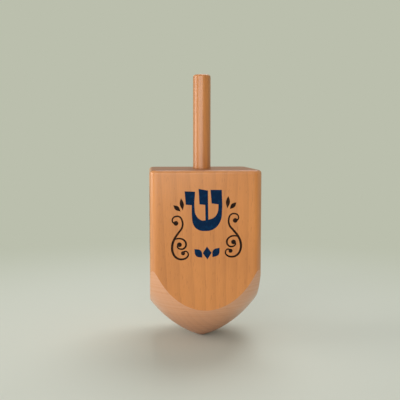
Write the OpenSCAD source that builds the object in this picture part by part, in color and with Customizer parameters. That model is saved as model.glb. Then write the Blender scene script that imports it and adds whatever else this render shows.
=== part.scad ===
// Wooden dreidel: a square block with a turned point, and a dowel handle glued into its top.
// Lengths are in millimetres. The spinning tip is at the origin and the dreidel spins about +Z.

/* [Block] */
// Width of the square block across two opposite faces
block_w = 38; // [30:0.5:46]
// Height of the block from the spinning tip to its flat top
block_h = 61.5; // [52:0.5:75]
// Radius of the four upright edges
upright_edge_r = 2.8; // [2:0.1:5]
// Radius of the sanded edges round the flat top
top_edge_r = 1.2; // [0.2:0.1:1.8]

/* [Turned point] */
// Height from the unsanded point to the lowest place of each face
face_low_h = 14; // [11:0.25:17]
// Height from the unsanded point to where the turning runs out on the upright edges
run_out_h = 27.7; // [24:0.1:32]
// Radius that the spinning tip is sanded to
tip_r = 3; // [1:0.25:5]

/* [Handle] */
// Diameter of the dowel
dowel_d = 6.35; // [4:0.05:10]
// Length of the dowel that stands above the block
grip_h = 33.5; // [20:0.5:45]
// Radius of the sanded edge at the dowel's free end
grip_end_r = 0.9; // [0.2:0.1:1.5]

/* [Glued joint] */
// Depth of the socket's straight wall
socket_depth = 16; // [8:0.5:28]
// Width of the shoulder where the dowel is turned down for the socket
shoulder_w = 0.225; // [0.2:0.025:0.6]
// Space for glue between the turned-down end and the socket's wall
glue_gap = 0.05; // [0.02:0.01:0.1]
// Space for glue under the dowel
foot_gap = 0.3; // [0.1:0.1:1]
// Chamfer that leads the turned-down end into the socket
lead_in = 0.8; // [0.2:0.1:1.5]
// Included angle of the drill's point
drill_angle = 118; // [90:1:135]

/* [Hidden] */
$fn = 128;

// Every cut runs this far past the face that it opens through
overrun = 1;

half_w = block_w / 2;
// The upright edges' axes stand this far from the middle, along X and along Y
edge_axis = half_w - upright_edge_r;
// Farthest reach of the rounded square from the spin axis
corner_reach = edge_axis * sqrt(2) + upright_edge_r;

// The lathe's cut is one arc. It passes through the unsanded point at [0, 0], the low place of
// a face and the run-out on an upright edge, so its centre is that of a circle through them.
low = [half_w, face_low_h];
out = [corner_reach, run_out_h];
spread = 2 * (low.x * out.y - out.x * low.y);
arc_x = (out.y * (low * low) - low.y * (out * out)) / spread;
arc_z = (low.x * (out * out) - out.x * (low * low)) / spread;
arc_r = norm([arc_x, arc_z]);
widest_r = arc_x + arc_r;

// The sanded tip is a ball that touches the inside of that arc at the seam
ball_drop = sqrt(pow(arc_r - tip_r, 2) - pow(arc_x, 2));
ball_z = arc_z - ball_drop;
seam_share = tip_r / (arc_r - tip_r);
seam_z = ball_z - ball_drop * seam_share;
sanded_off = ball_z - tip_r;

dowel_r = dowel_d / 2;
glued_r = dowel_r - shoulder_w;
socket_r = glued_r + glue_gap;
socket_floor = block_h - socket_depth;
drill_point_h = socket_r / tan(drill_angle / 2);
dowel_foot = socket_floor + foot_gap;

// Half of an upright section, with the outer corner at its top rounded
module eased_section(reach, height, ease) {
    difference() {
        square([reach, height]);
        translate([reach - ease, height - ease])
            difference() {
                square(ease + overrun);
                circle(r = ease);
            }
    }
}

// Square stock with rounded upright edges and a sanded rim, before it goes on the lathe
module squared_stock() {
    for (turn = [0, 90])
        rotate([90, 0, turn])
            linear_extrude(height = 2 * edge_axis, center = true) {
                eased_section(half_w, block_h, top_edge_r);
                mirror([1, 0])
                    eased_section(half_w, block_h, top_edge_r);
            }
    for (x = [-edge_axis, edge_axis], y = [-edge_axis, edge_axis])
        translate([x, y])
            rotate_extrude()
                eased_section(upright_edge_r, block_h, top_edge_r);
}

// What the lathe leaves: a ball tip, the arc of the point, and full width above it
module turning_section() {
    intersection() {
        translate([0, ball_z])
            circle(r = tip_r);
        translate([0, sanded_off])
            square([tip_r, seam_z - sanded_off]);
    }
    intersection() {
        translate([arc_x, arc_z])
            circle(r = arc_r);
        translate([0, seam_z])
            square([widest_r, arc_z - seam_z]);
    }
    translate([0, arc_z])
        square([widest_r, block_h]);
}

// Blind hole for the turned-down end of the dowel, with the drill's cone at its bottom
module socket() {
    translate([0, 0, socket_floor])
        rotate_extrude()
            polygon([
                [0, -drill_point_h],
                [socket_r, 0],
                [socket_r, socket_depth + overrun],
                [0, socket_depth + overrun]
            ]);
}

module body_block() {
    color("#c88850")
        difference() {
            intersection() {
                squared_stock();
                translate([0, 0, -sanded_off])
                    rotate_extrude()
                        turning_section();
            }
            socket();
        }
}

// The shoulder seats on the block's top, round the socket's mouth
module handle_dowel() {
    color("#cd8f58")
        rotate_extrude() {
            translate([0, block_h])
                eased_section(dowel_r, grip_h, grip_end_r);
            polygon([
                [0, dowel_foot],
                [glued_r - lead_in, dowel_foot],
                [glued_r, dowel_foot + lead_in],
                [glued_r, block_h],
                [0, block_h]
            ]);
        }
}

body_block();
handle_dowel();
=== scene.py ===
import math

import bmesh
import bpy
from mathutils import Matrix, Vector


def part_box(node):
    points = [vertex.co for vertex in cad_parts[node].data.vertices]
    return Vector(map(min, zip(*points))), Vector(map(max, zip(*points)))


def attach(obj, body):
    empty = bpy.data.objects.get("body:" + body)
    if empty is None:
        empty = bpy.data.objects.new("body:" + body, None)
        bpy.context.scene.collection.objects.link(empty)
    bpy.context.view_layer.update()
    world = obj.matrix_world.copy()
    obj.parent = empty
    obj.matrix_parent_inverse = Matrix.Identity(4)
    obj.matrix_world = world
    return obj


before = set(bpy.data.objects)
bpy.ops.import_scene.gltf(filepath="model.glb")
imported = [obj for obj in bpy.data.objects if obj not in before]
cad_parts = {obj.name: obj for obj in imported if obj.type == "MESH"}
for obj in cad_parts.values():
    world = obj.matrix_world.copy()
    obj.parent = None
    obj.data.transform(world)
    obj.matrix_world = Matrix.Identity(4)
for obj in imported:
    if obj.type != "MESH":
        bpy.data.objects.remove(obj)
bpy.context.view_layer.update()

# Wooden block
# A square piece of beech, turned on a lathe to a blunt point, sanded, then dipped in orange-tan lacquer.
# The faces show long grain. The top shows end grain, and the turned point short grain with tool rings.

MM = 0.001
half_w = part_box("body_block")[1][0]
block_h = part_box("body_block")[1][2]


def paint(hex_colour):
    """A linear colour from an sRGB hex value."""
    parts = [int(hex_colour[i:i + 2], 16) / 255 for i in (1, 3, 5)]
    return tuple(p / 12.92 if p <= 0.04045 else ((p + 0.055) / 1.055) ** 2.4 for p in parts) + (1.0,)


def new_material(name):
    """An empty material and its node tree."""
    material = bpy.data.materials.new(name)
    material.use_nodes = True
    material.node_tree.nodes.clear()
    return material, material.node_tree


def add(tree, kind, inputs=None, **settings):
    """Adds a node with its settings. An input is a number, a colour, or a node's socket to link."""
    new = tree.nodes.new(kind)
    for name, value in settings.items():
        setattr(new, name, value)
    for socket, value in (inputs or {}).items():
        if isinstance(value, bpy.types.NodeSocket):
            tree.links.new(value, new.inputs[socket])
        else:
            new.inputs[socket].default_value = value
    return new


def lumps(tree, place, sizes, detail):
    """Noise from 0 to 1 whose lumps are about as long along each axis as sizes says, in place's units."""
    scaled = add(tree, "ShaderNodeMapping", {"Vector": place, "Scale": [1 / size for size in sizes]})
    noise = add(tree, "ShaderNodeTexNoise", {"Vector": scaled.outputs[0], "Scale": 1.0, "Detail": detail})
    return noise.outputs


def lacquered_wood(name, light, dark, pale_sheen_and_wear, end_dark, gloss, from_pith, lean, ring_w, square):
    """Beech under a satin lacquer, with year rings round the tree's pith, which is outside the piece.

    end_dark is the colour of end grain where most lacquer sank in. On the block it is also painted shade
    on the flat top and on the tip, which faces down. gloss is the wood's own specular level under the
    coat.
    from_pith says where the piece's origin lies, seen from the pith, and its third value only slides the
    pattern along the grain. ring_w is one year's growth. Both are in mm. lean turns the grain by angles
    in degrees. A square piece has flat sides, and any other is round.
    """
    material, tree = new_material(name)
    texture = add(tree, "ShaderNodeTexCoord")
    spot = texture.outputs["Object"]
    normal = texture.outputs["Normal"]
    grain = add(tree, "ShaderNodeMapping", {
        "Vector": spot,
        "Location": from_pith,
        "Rotation": [math.radians(angle) for angle in lean],
        "Scale": [1 / MM] * 3,
    }).outputs[0]

    # The rings wander by a millimetre or two over a few centimetres
    wander_w = 3.6
    wander = lumps(tree, grain, (22, 22, 60), 2.0)["Color"]
    offset = add(tree, "ShaderNodeVectorMath", {0: wander, 1: [0.5] * 3}, operation="SUBTRACT")
    bent = add(tree, "ShaderNodeVectorMath", {
        0: offset.outputs[0],
        1: (wander_w, wander_w, 0.0),
        2: grain,
    }, operation="MULTIPLY_ADD").outputs[0]
    across = add(tree, "ShaderNodeVectorMath", {0: bent, 1: (1, 1, 0)}, operation="MULTIPLY")
    radius = add(tree, "ShaderNodeVectorMath", {0: across.outputs[0]}, operation="LENGTH")
    year = add(tree, "ShaderNodeMath", {0: radius.outputs["Value"], 1: ring_w}, operation="DIVIDE")
    season = add(tree, "ShaderNodeMath", {0: year.outputs[0]}, operation="FRACT")

    # Early wood is pale, late wood darkens slowly to a thin line, and the next year starts at once
    late_begins = 0.35
    darkest = 0.93
    growth = add(tree, "ShaderNodeValToRGB", {"Fac": season.outputs[0]})
    growth.color_ramp.elements[0].position = late_begins
    growth.color_ramp.elements[0].color = (0, 0, 0, 1)
    growth.color_ramp.elements[1].position = darkest
    growth.color_ramp.elements[1].color = (1, 1, 1, 1)
    growth.color_ramp.elements.new(1.0).color = (0, 0, 0, 1)
    late = growth.outputs[0]

    # Fibres, drawn 0.3 mm wide because finer ones wouldn't show, and patches of unevenly soaked lacquer
    fibre = lumps(tree, bent, (0.3, 0.3, 8), 3.0)["Fac"]
    patch = lumps(tree, grain, (15, 15, 26), 2.0)["Fac"]

    # Beech's flecks: short dark dashes about 0.25 mm wide and 2 mm long, dots where they show end on.
    # Only the highest few percent of the noise makes one. A Map Range node takes its value at socket 0
    # and turns what lies between 1 and 2 into what lies between 3 and 4, which are 0 and 1 if not given.
    fleck = add(tree, "ShaderNodeMapRange", {
        0: lumps(tree, bent, (0.45, 0.45, 2.6), 1.0)["Fac"],
        1: 0.63,
        2: 0.72,
    }, interpolation_type="SMOOTHSTEP").outputs[0]

    # Each pattern darkens the wood by its weight. The sum starts below 0 and is cut off at 0, so that
    # the palest places keep the light colour.
    shade = -0.27
    for pattern, weight in ((late, 0.18), (fibre, 0.3), (patch, 0.5), (fleck, 0.2)):
        shade = add(tree, "ShaderNodeMath", {
            0: pattern,
            1: weight,
            2: shade,
        }, operation="MULTIPLY_ADD").outputs[0]

    # A Mix node takes its two colours at sockets 6 and 7 and gives the blend at output 2
    colour = add(tree, "ShaderNodeMix", {
        "Factor": add(tree, "ShaderNodeClamp", {"Value": shade}).outputs[0],
        6: paint(light),
        7: paint(dark),
    }, data_type="RGBA").outputs[2]

    # Only the turned point faces down. The tool leaves rings on it, about a millimetre apart
    tool_feed = 0.9 * MM
    up = add(tree, "ShaderNodeSeparateXYZ", {0: normal}).outputs["Z"]
    turned = add(tree, "ShaderNodeMath", {0: up, 1: -0.1}, operation="LESS_THAN").outputs[0]
    from_tip = add(tree, "ShaderNodeVectorMath", {0: spot}, operation="LENGTH").outputs["Value"]
    groove = add(tree, "ShaderNodeTexNoise", {
        "W": from_tip,
        "Scale": 1 / tool_feed,
        "Detail": 2.0,
    }, noise_dimensions="1D").outputs["Fac"]
    tool_marks = add(tree, "ShaderNodeMath", {0: groove, 1: turned}, operation="MULTIPLY").outputs[0]

    # The turned point is painted paler and rosier. This is a painted sheen for the pale reflection that
    # its satin lacquer shows, and it is stronger along the tool's rings
    paler_by = 0.3
    paler_in_marks = 0.75
    point_sheen = add(tree, "ShaderNodeMath", {0: turned, 1: paler_by}, operation="MULTIPLY").outputs[0]
    painted_sheen = add(tree, "ShaderNodeMath", {
        0: tool_marks,
        1: paler_in_marks,
        2: point_sheen,
    }, operation="MULTIPLY_ADD").outputs[0]
    colour = add(tree, "ShaderNodeMix", {
        "Factor": painted_sheen,
        6: colour,
        7: paint(pale_sheen_and_wear),
    }, data_type="RGBA").outputs[2]

    # How squarely the surface faces along each axis, either way, from 0 to 1
    facing = add(tree, "ShaderNodeVectorMath", {0: normal}, operation="ABSOLUTE").outputs[0]
    along = add(tree, "ShaderNodeSeparateXYZ", {0: facing}).outputs

    # End grain, on the flat top and round the tip, drinks in more lacquer, most of all in the late
    # wood, and so it is darker and duller. On the block this darker colour is also painted shade, on the
    # flat top and on the tip, which faces down
    end_grain = add(tree, "ShaderNodeMapRange", {0: along["Z"], 1: 0.6, 2: 1.0}).outputs[0]
    thirst = add(tree, "ShaderNodeMapRange", {0: late, 3: 0.8, 4: 1.0}).outputs[0]
    soaked_and_shaded = add(tree, "ShaderNodeMath", {0: end_grain, 1: thirst}, operation="MULTIPLY").outputs[0]
    colour = add(tree, "ShaderNodeMix", {
        "Factor": soaked_and_shaded,
        6: colour,
        7: paint(end_dark),
    }, data_type="RGBA").outputs[2]

    # Handling rubs the lacquer thin along the sanded edges, which face no side and no end squarely.
    # The paler colour there comes partly from that thinned lacquer and partly from a painted highlight
    if square:
        larger = add(tree, "ShaderNodeMath", {0: along["X"], 1: along["Y"]}, operation="MAXIMUM")
        side = larger.outputs[0]
    else:
        outward = add(tree, "ShaderNodeVectorMath", {0: facing, 1: (1, 1, 0)}, operation="MULTIPLY")
        length = add(tree, "ShaderNodeVectorMath", {0: outward.outputs[0]}, operation="LENGTH")
        side = length.outputs["Value"]
    squarely = add(tree, "ShaderNodeMath", {0: side, 1: along["Z"]}, operation="MAXIMUM").outputs[0]
    most_wear_and_highlight = 0.42
    edge = add(tree, "ShaderNodeMapRange", {0: squarely, 1: 0.98, 2: 0.85}).outputs[0]
    wear_and_highlight = add(tree, "ShaderNodeMapRange", {0: patch, 3: 0.0, 4: most_wear_and_highlight}).outputs[0]
    rubbed_and_highlit = add(tree, "ShaderNodeMath", {0: edge, 1: wear_and_highlight}, operation="MULTIPLY").outputs[0]
    colour = add(tree, "ShaderNodeMix", {
        "Factor": rubbed_and_highlit,
        6: colour,
        7: paint(pale_sheen_and_wear),
    }, data_type="RGBA").outputs[2]

    # The tool's rings stand out about three times as far as the fibres
    fibre_relief = 0.35
    relief = add(tree, "ShaderNodeMath", {
        0: fibre,
        1: fibre_relief,
        2: tool_marks,
    }, operation="MULTIPLY_ADD").outputs[0]
    bump = add(tree, "ShaderNodeBump", {"Height": relief, "Strength": 0.35, "Distance": 0.06 * MM})

    # The lacquer dries to a satin coat, rougher where more of it soaked in. None stays on end grain
    full_coat = 0.7
    end_coat = 0.0
    surface = add(tree, "ShaderNodeBsdfPrincipled", {
        "Base Color": colour,
        "Roughness": add(tree, "ShaderNodeMapRange", {0: patch, 3: 0.36, 4: 0.5}).outputs[0],
        "IOR": 1.5,
        "Specular IOR Level": gloss,
        "Coat Weight": add(tree, "ShaderNodeMapRange", {
            0: end_grain,
            3: full_coat,
            4: end_coat,
        }).outputs[0],
        "Coat Roughness": 0.2,
        "Coat IOR": 1.5,
        "Normal": bump.outputs[0],
    })
    add(tree, "ShaderNodeOutputMaterial", {"Surface": surface.outputs[0]})
    return material


block_wood = lacquered_wood(
    "lacquered beech block",
    light="#d28640",
    dark="#955422",
    # The pale tone paints a sheen on the turned point, and pales the worn edges with a painted highlight
    pale_sheen_and_wear="#dca581",
    # The end colour darkens end grain where lacquer sank in, and paints shade on the top and the tip
    end_dark="#81451a",
    gloss=0.35,
    from_pith=(46.0, -30.0, 30.0),
    lean=(3.0, -2.0, 0.0),
    ring_w=2.6,
    square=True,
)
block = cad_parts["body_block"]
block.data.materials.clear()
block.data.materials.append(block_wood)

# Dowel handle
# A straight beech dowel, planed round and dipped in the same lacquer. Its lower end is glued into the
# block and its upper end is sanded round by hand.

dowel_wood = lacquered_wood(
    "lacquered beech dowel",
    light="#c9803f",
    dark="#955626",
    # The pale tone pales the dowel's worn edges, partly as a painted highlight
    pale_sheen_and_wear="#dca581",
    end_dark="#9c5b2a",
    gloss=0.4,
    from_pith=(14.0, 21.0, 0.0),
    lean=(-1.0, 1.5, 0.0),
    ring_w=1.7,
    square=False,
)
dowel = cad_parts["handle_dowel"]
dowel.data.materials.clear()
dowel.data.materials.append(dowel_wood)

# Printed faces
# Each face has one game letter between two scrolls, and a small ornament below it, screen printed in
# navy ink over the lacquer. The ink is a film with a sharp edge, and it lies thinner in narrow lines.

ink_film = 0.03 * MM
merge_gap = 0.001 * MM
# The print's middle is this high above the tip. The letter's and the lozenge's are measured from it
print_mid = 43.0 * MM
letter_mid = Vector((-0.45, 5.0)) * MM
lozenge_mid = Vector((0.1, -9.4)) * MM

# Outlines in mm round the letter's middle. A dot marks a place that the pen rounds.
LETTERS = {
    "shin": [[
        (-6.2, 6.8), (-2.7, 6.5), (-3.1, 1.2, "."), (-2.7, -1.4, "."), (-1.0, -3.2, "."), (0.4, -3.3),
        (0.5, 1.9), (-1.4, 2.2), (-1.5, 7.4), (1.6, 6.7), (1.4, -3.1), (3.3, -2.5, "."),
        (4.6, -0.8, "."), (5.0, 1.9), (2.7, 2.3), (2.5, 6.9), (6.3, 6.7), (6.1, -0.6, "."),
        (5.4, -3.9, "."), (3.2, -6.3, "."), (0.0, -6.9, "."), (-2.4, -6.2, "."), (-3.7, -4.6, "."),
        (-4.1, -2.0, "."), (-4.0, 2.0), (-6.0, 2.3),
    ]],
    "nun": [[
        (-2.8, 6.9), (2.0, 6.6), (3.0, 5.2, "."), (3.0, -6.7), (-4.4, -6.7), (-4.2, -4.0), (1.6, -4.0),
        (1.5, 3.9), (-2.5, 3.7),
    ]],
    "gimel": [[
        (-2.8, 6.9), (1.7, 6.6), (2.7, 5.0, "."), (2.8, -0.8, "."), (4.3, -6.7), (2.7, -6.7),
        (1.5, -3.0, "."), (-1.2, -4.4, "."), (-2.3, -6.7), (-4.6, -6.7), (-3.2, -3.0, "."),
        (0.2, -1.0, "."), (1.4, -0.4), (1.4, 3.9), (-2.4, 3.7),
    ]],
    "he": [
        [(-6.0, 6.9), (4.9, 6.6), (5.9, 5.0, "."), (5.7, -6.7), (4.2, -6.7), (4.4, 3.9), (-5.7, 3.7)],
        [(-4.9, 1.9), (-3.4, 1.9), (-3.6, -6.7), (-5.2, -6.7), (-4.8, -2.5, ".")],
    ],
}

# A lozenge between two leaves
LOZENGE = [
    [(0.0, 2.2), (1.5, 0.0), (0.0, -2.2), (-1.5, 0.0)],
    [(1.7, -1.5), (2.1, 0.9, "."), (4.3, 1.6), (3.8, -0.8, ".")],
    [(-1.7, -1.5), (-2.1, 0.9, "."), (-4.3, 1.6), (-3.8, -0.8, ".")],
]

# Right-hand leaves, each from its foot round to its foot, in mm round the print's middle
LEAVES = [
    [(7.5, 5.4), (7.1, 7.6, "."), (7.95, 9.6), (8.45, 7.6, ".")],
    [(8.3, 5.1), (9.0, 6.8, "."), (10.6, 7.3), (10.0, 5.8, ".")],
]

# Right-hand pen strokes, as places in mm round the print's middle with the pen's width at each
STROKES = [
    [
        (10.3, 0.9, 0.55), (11.15, 1.9, 0.5), (10.9, 3.0, 0.5), (9.9, 3.5, 0.55), (8.7, 3.3, 0.55),
        (7.9, 2.0, 0.6), (8.0, -0.3, 0.65), (9.3, -2.1, 0.7), (10.8, -4.2, 0.75), (11.6, -6.5, 0.8),
        (11.4, -8.9, 0.75), (10.3, -10.5, 0.7), (8.6, -11.1, 0.65), (6.9, -10.6, 0.6), (6.3, -9.5, 0.5),
        (6.95, -8.5, 0.5), (7.9, -8.6, 0.55),
    ],
    [
        (10.7, -4.2, 0.45), (9.1, -4.0, 0.55), (7.5, -4.7, 0.6), (6.9, -6.0, 0.65), (7.5, -7.3, 0.6),
        (8.8, -7.6, 0.55), (9.8, -6.9, 0.5), (9.6, -6.1, 0.6),
    ],
]
# Where the pen ends a scroll in a ball, as its middle and width in mm
BALLS = [(10.0, 1.2, 1.6), (8.05, -9.05, 1.4), (9.15, -6.1, 1.6)]


def add_spline(curve, places, closed):
    """A curve through places in mm. In an outline a dot rounds a place, and a stroke has widths."""
    spline = curve.splines.new("BEZIER")
    spline.bezier_points.add(len(places) - 1)
    spline.use_cyclic_u = closed
    spline.resolution_u = 8
    spline.radius_interpolation = "CARDINAL"
    for point, place in zip(spline.bezier_points, places):
        point.co = (place[0] * MM, place[1] * MM, 0.0)
        handle = "VECTOR" if closed and len(place) == 2 else "AUTO"
        point.handle_left_type = handle
        point.handle_right_type = handle
        if not closed:
            point.radius = place[2] / 2


def curve_to_bmesh(curve):
    """The curve's mesh as a bmesh with its doubles merged. The curve is removed."""
    drawn = bpy.data.objects.new(curve.name, curve)
    bpy.context.collection.objects.link(drawn)
    bm = bmesh.new()
    bm.from_mesh(drawn.to_mesh())
    bpy.data.objects.remove(drawn)
    bpy.data.curves.remove(curve)
    bmesh.ops.remove_doubles(bm, verts=bm.verts, dist=merge_gap)
    return bm


def flat_shapes(outlines, middle=Vector((0.0, 0.0))):
    """Filled outlines round middle, as flat slabs of ink on the face."""
    curve = bpy.data.curves.new("outline", "CURVE")
    curve.dimensions = "2D"
    curve.fill_mode = "BOTH"
    curve.extrude = ink_film / 2
    for outline in outlines:
        add_spline(curve, outline, closed=True)
    bm = curve_to_bmesh(curve)
    bmesh.ops.translate(bm, verts=bm.verts, vec=(middle.x, middle.y, ink_film / 2))
    return bm


def pen_strokes(strokes):
    """Strokes on both sides of the letter: round strings pressed flat and cut off at the face.

    A stroke 1 mm wide would carry the whole film of ink, and a narrower one carries less.
    """
    full_w = 1.0 * MM
    curve = bpy.data.curves.new("stroke", "CURVE")
    curve.dimensions = "3D"
    curve.bevel_depth = MM
    curve.bevel_resolution = 2
    curve.use_fill_caps = True
    for side in (1, -1):
        for stroke in strokes:
            add_spline(curve, [(side * x, y, width) for x, y, width in stroke], closed=False)
    bm = curve_to_bmesh(curve)
    bmesh.ops.scale(bm, verts=bm.verts, vec=(1, 1, ink_film / (full_w / 2)))
    bmesh.ops.bisect_plane(
        bm,
        geom=bm.verts[:] + bm.edges[:] + bm.faces[:],
        dist=merge_gap,
        plane_co=(0, 0, 0),
        plane_no=(0, 0, 1),
        clear_inner=True,
    )
    bmesh.ops.holes_fill(bm, edges=[edge for edge in bm.edges if edge.is_boundary])
    return bm


def pen_balls(balls):
    """Round slabs on both sides of the letter, where the pen rested and left more ink."""
    ball_film = 1.2 * ink_film
    bm = bmesh.new()
    for side in (1, -1):
        for x, y, width in balls:
            place = Matrix.Translation((side * x * MM, y * MM, ball_film / 2))
            bmesh.ops.create_cone(
                bm,
                cap_ends=True,
                segments=32,
                radius1=width * MM / 2,
                radius2=width * MM / 2,
                depth=ball_film,
                matrix=place,
            )
    return bm


def print_on_face(name, parts, turn, slip, tilt, material):
    """Adds the joined parts as a piece, on the face that stands turn degrees round from the front.

    The print lies slip mm to the right of the face's middle and tilt degrees askew.
    """
    mesh = bpy.data.meshes.new(name)
    bm = bmesh.new()
    for part in parts:
        part.to_mesh(mesh)
        part.free()
        bm.from_mesh(mesh)
    place = (
        Matrix.Rotation(math.radians(turn), 4, "Z")
        @ Matrix.Translation((slip * MM, -half_w, print_mid))
        @ Matrix.Rotation(math.pi / 2, 4, "X")
        @ Matrix.Rotation(math.radians(tilt), 4, "Z")
    )
    bmesh.ops.transform(bm, matrix=place, verts=bm.verts)
    bmesh.ops.recalc_face_normals(bm, faces=bm.faces)
    bm.to_mesh(mesh)
    bm.free()
    mesh.materials.append(material)
    piece = bpy.data.objects.new(name, mesh)
    bpy.context.collection.objects.link(piece)
    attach(piece, "root")


def screen_ink(name, deep, thin):
    """Ink that dries dull. Its thin colour shows where the screen laid less and the wood is seen."""
    material, tree = new_material(name)
    spot = add(tree, "ShaderNodeTexCoord").outputs["Object"]
    # The screen's weave and the grain below leave the film uneven over about a millimetre
    cover = lumps(tree, spot, [1.1 * MM] * 3, 3.0)["Fac"]
    missed = add(tree, "ShaderNodeMapRange", {
        0: cover,
        1: 0.45,
        2: 0.75,
    }, interpolation_type="SMOOTHSTEP")
    colour = add(tree, "ShaderNodeMix", {
        "Factor": missed.outputs[0],
        6: paint(deep),
        7: paint(thin),
    }, data_type="RGBA")
    bump = add(tree, "ShaderNodeBump", {"Height": cover, "Strength": 0.3, "Distance": 0.02 * MM})
    surface = add(tree, "ShaderNodeBsdfPrincipled", {
        "Base Color": colour.outputs[2],
        "Roughness": add(tree, "ShaderNodeMapRange", {0: cover, 3: 0.5, 4: 0.65}).outputs[0],
        "IOR": 1.4,
        "Specular IOR Level": 0.1,
        "Normal": bump.outputs[0],
    })
    add(tree, "ShaderNodeOutputMaterial", {"Surface": surface.outputs[0]})
    return material


letter_ink = screen_ink("navy screen ink", deep="#00203f", thin="#022f52")
line_ink = screen_ink("thin navy screen ink", deep="#1f130d", thin="#3d2415")

# The letters follow one another round the block, read from right to left. Each face went under the
# screen by hand, so each print sits a little aside and askew in its own way.
for face, letter, turn, slip, tilt in (
    ("front", "shin", 0, -0.24, 2.3),
    ("right", "he", 90, 0.15, -0.8),
    ("back", "gimel", 180, 0.3, 1.2),
    ("left", "nun", 270, -0.1, 0.6),
):
    signs = [flat_shapes(LETTERS[letter], letter_mid), flat_shapes(LOZENGE, lozenge_mid)]
    print_on_face(f"letter_{face}", signs, turn, slip, tilt, letter_ink)
    leaves = [[(side * x, y, *dot) for x, y, *dot in leaf] for side in (1, -1) for leaf in LEAVES]
    scrolls = [pen_strokes(STROKES), pen_balls(BALLS), flat_shapes(leaves)]
    print_on_face(f"scrolls_{face}", scrolls, turn, slip, tilt, line_ink)

# Floor and background
# A plain pale table under the dreidel. Farther out it fades into the background's own colour, so that
# no edge shows behind the object from any side. Its sizes are in metres.

floor_r = 3.0
fade_from = 0.05
fade_to = 0.25
backdrop_colour = "#bbbfad"


def backdrop_rays(tree):
    """1 for a ray that shows the backdrop: the camera's own, or one that gloss or glass sends on."""
    rays = add(tree, "ShaderNodeLightPath").outputs
    sent_on = add(tree, "ShaderNodeMath", {
        0: rays["Is Glossy Ray"],
        1: rays["Is Transmission Ray"],
    }, operation="MAXIMUM").outputs[0]
    return add(tree, "ShaderNodeMath", {
        0: rays["Is Camera Ray"],
        1: sent_on,
    }, operation="MAXIMUM").outputs[0]


floor_paint, tree = new_material("pale table")
away = add(tree, "ShaderNodeVectorMath", {
    0: add(tree, "ShaderNodeTexCoord").outputs["Object"],
}, operation="LENGTH").outputs["Value"]
faded = add(tree, "ShaderNodeMapRange", {
    0: away,
    1: fade_from,
    2: fade_to,
}, interpolation_type="SMOOTHSTEP").outputs[0]
near = add(tree, "ShaderNodeBsdfPrincipled", {"Base Color": paint("#d3d6ca"), "Roughness": 0.7})
far = add(tree, "ShaderNodeEmission", {"Color": paint(backdrop_colour)})
hidden = add(tree, "ShaderNodeMath", {
    0: faded,
    1: backdrop_rays(tree),
}, operation="MULTIPLY").outputs[0]
blend = add(tree, "ShaderNodeMixShader", {0: hidden, 1: near.outputs[0], 2: far.outputs[0]})
add(tree, "ShaderNodeOutputMaterial", {"Surface": blend.outputs[0]})

bm = bmesh.new()
bmesh.ops.create_circle(bm, cap_ends=True, segments=96, radius=floor_r)
floor_mesh = bpy.data.meshes.new("floor")
bm.to_mesh(floor_mesh)
bm.free()
floor_mesh.materials.append(floor_paint)
floor = bpy.data.objects.new("floor", floor_mesh)
bpy.context.collection.objects.link(floor)

# The camera sees the background's own colour, and so does the gloss of the lacquer. A dimmer, almost
# white studio lights the rest.
backdrop_strength = 1.0
studio_strength = 0.26

world = bpy.data.worlds.new("studio")
bpy.context.scene.world = world
world.use_nodes = True
tree = world.node_tree
tree.nodes.clear()
backdrop = add(tree, "ShaderNodeBackground", {
    "Color": paint(backdrop_colour),
    "Strength": backdrop_strength,
})
studio = add(tree, "ShaderNodeBackground", {"Color": paint("#f4f6f2"), "Strength": studio_strength})
both = add(tree, "ShaderNodeMixShader", {
    0: backdrop_rays(tree),
    1: studio.outputs[0],
    2: backdrop.outputs[0],
})
add(tree, "ShaderNodeOutputWorld", {"Surface": both.outputs[0]})

# Lamps
# Three soft boxes. The main one stands in front, a little to the left and raised. One hangs overhead,
# behind and to the right, for the top and the back. The last stands at the left, and its reflection
# runs down the dowel and the block's left edge.


def soft_box(name, place, aim, width, height, watts):
    """A rectangular lamp at place that faces aim. Places and sizes are in metres."""
    lamp = bpy.data.lights.new(name, "AREA")
    lamp.shape = "RECTANGLE"
    lamp.size = width
    lamp.size_y = height
    lamp.energy = watts
    box = bpy.data.objects.new(name, lamp)
    bpy.context.collection.objects.link(box)
    box.location = place
    box.rotation_euler = (Vector(aim) - Vector(place)).to_track_quat("-Z", "Y").to_euler()


middle = (0.0, 0.0, 0.5 * block_h)
soft_box("main lamp", (-0.36, -0.86, 0.28), middle, width=1.10, height=0.60, watts=6.7)
soft_box("overhead lamp", (0.16, 0.38, 0.80), middle, width=0.60, height=0.50, watts=3.8)
soft_box("left lamp", (-0.60, 0.02, 0.12), middle, width=0.36, height=0.50, watts=2.0)

# Camera
# It stands close, a little left of the dreidel and a little above the block, and looks slightly down.
# Its angles are in radians, and its focal length in pixels of the square photo.

camera_place = Vector((-19.5, -231.6, 69.9)) * MM
camera_yaw = 0.0812
camera_pitch = 0.0857
focal_px = 639.8
photo_px = 400

lens = bpy.data.cameras.new("camera")
lens.sensor_width = 36.0
lens.lens = lens.sensor_width * focal_px / photo_px
lens.clip_start = 0.01
camera = bpy.data.objects.new("camera", lens)
bpy.context.collection.objects.link(camera)
camera.location = camera_place
ahead = Vector((
    math.sin(camera_yaw) * math.cos(camera_pitch),
    math.cos(camera_yaw) * math.cos(camera_pitch),
    -math.sin(camera_pitch),
))
camera.rotation_euler = ahead.to_track_quat("-Z", "Y").to_euler()
bpy.context.scene.camera = camera
bpy.context.scene.view_settings.view_transform = "Standard"
